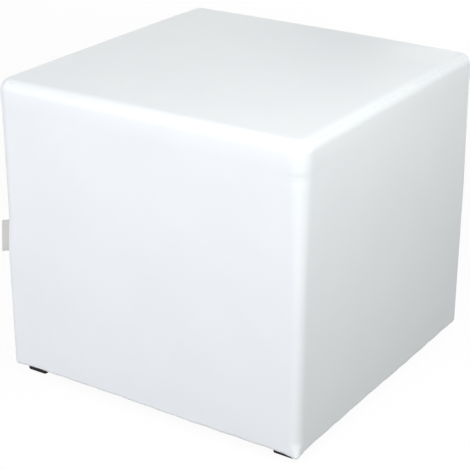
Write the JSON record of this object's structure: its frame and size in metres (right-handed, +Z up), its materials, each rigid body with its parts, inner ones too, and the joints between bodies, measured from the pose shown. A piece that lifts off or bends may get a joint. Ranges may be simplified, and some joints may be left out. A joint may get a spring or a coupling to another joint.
{
  "type": "square pouf",
  "caption": "Square upholstered footstool: board box frame, foam pads and a sewn smooth leatherette cover on low square feet.",
  "frame": {"origin": "on the floor, under the middle of the pouf's plan", "axes": "+Z up; -Y towards the wall at the picture's left, whose left upright seam holds the side tag; +X towards the wall at the picture's right"},
  "size_m": [0.4554, 0.4554, 0.4147],
  "materials": {
    "leatherette": "satin",
    "ribbon": "matte",
    "foam": "matte",
    "wadding": "matte",
    "plywood": "matte",
    "timber": "matte",
    "foot_plastic": "matte",
    "black_cloth": "matte",
    "steel": "satin"
  },
  "bodies": {
    "root": {"base_rail_back": "timber", "base_rail_front": "timber", "base_rail_left": "timber", "base_rail_right": "timber", "board_screw_back_left_lower": "steel", "board_screw_back_left_upper": "steel", "board_screw_back_right_lower": "steel", "board_screw_back_right_upper": "steel", "board_screw_front_left_lower": "steel", "board_screw_front_left_upper": "steel", "board_screw_front_right_lower": "steel", "board_screw_front_right_upper": "steel", "board_screw_left_back_lower": "steel", "board_screw_left_back_upper": "steel", "board_screw_left_front_lower": "steel", "board_screw_left_front_upper": "steel", "board_screw_right_back_lower": "steel", "board_screw_right_back_upper": "steel", "board_screw_right_front_lower": "steel", "board_screw_right_front_upper": "steel", "corner_post_back_left": "timber", "corner_post_back_right": "timber", "corner_post_front_left": "timber", "corner_post_front_right": "timber", "cover_band_back_left": "leatherette", "cover_band_front_right": "leatherette", "cover_top": "leatherette", "dust_cover": "black_cloth", "foot_back_left": "foot_plastic", "foot_back_right": "foot_plastic", "foot_front_left": "foot_plastic", "foot_front_right": "foot_plastic", "foot_screw_back_left": "steel", "foot_screw_back_right": "steel", "foot_screw_front_left": "steel", "foot_screw_front_right": "steel", "rail_screw_back": "steel", "rail_screw_front": "steel", "rail_screw_left": "steel", "rail_screw_right": "steel", "seat_board": "plywood", "seat_foam": "foam", "seat_screw_back_left": "steel", "seat_screw_back_right": "steel", "seat_screw_front_left": "steel", "seat_screw_front_right": "steel", "seat_wadding": "wadding", "side_board_back": "plywood", "side_board_front": "plywood", "side_board_left": "plywood", "side_board_right": "plywood", "side_foam_back": "foam", "side_foam_front": "foam", "side_foam_left": "foam", "side_foam_right": "foam", "side_tag": "ribbon"}
  },
  "joints": []
}
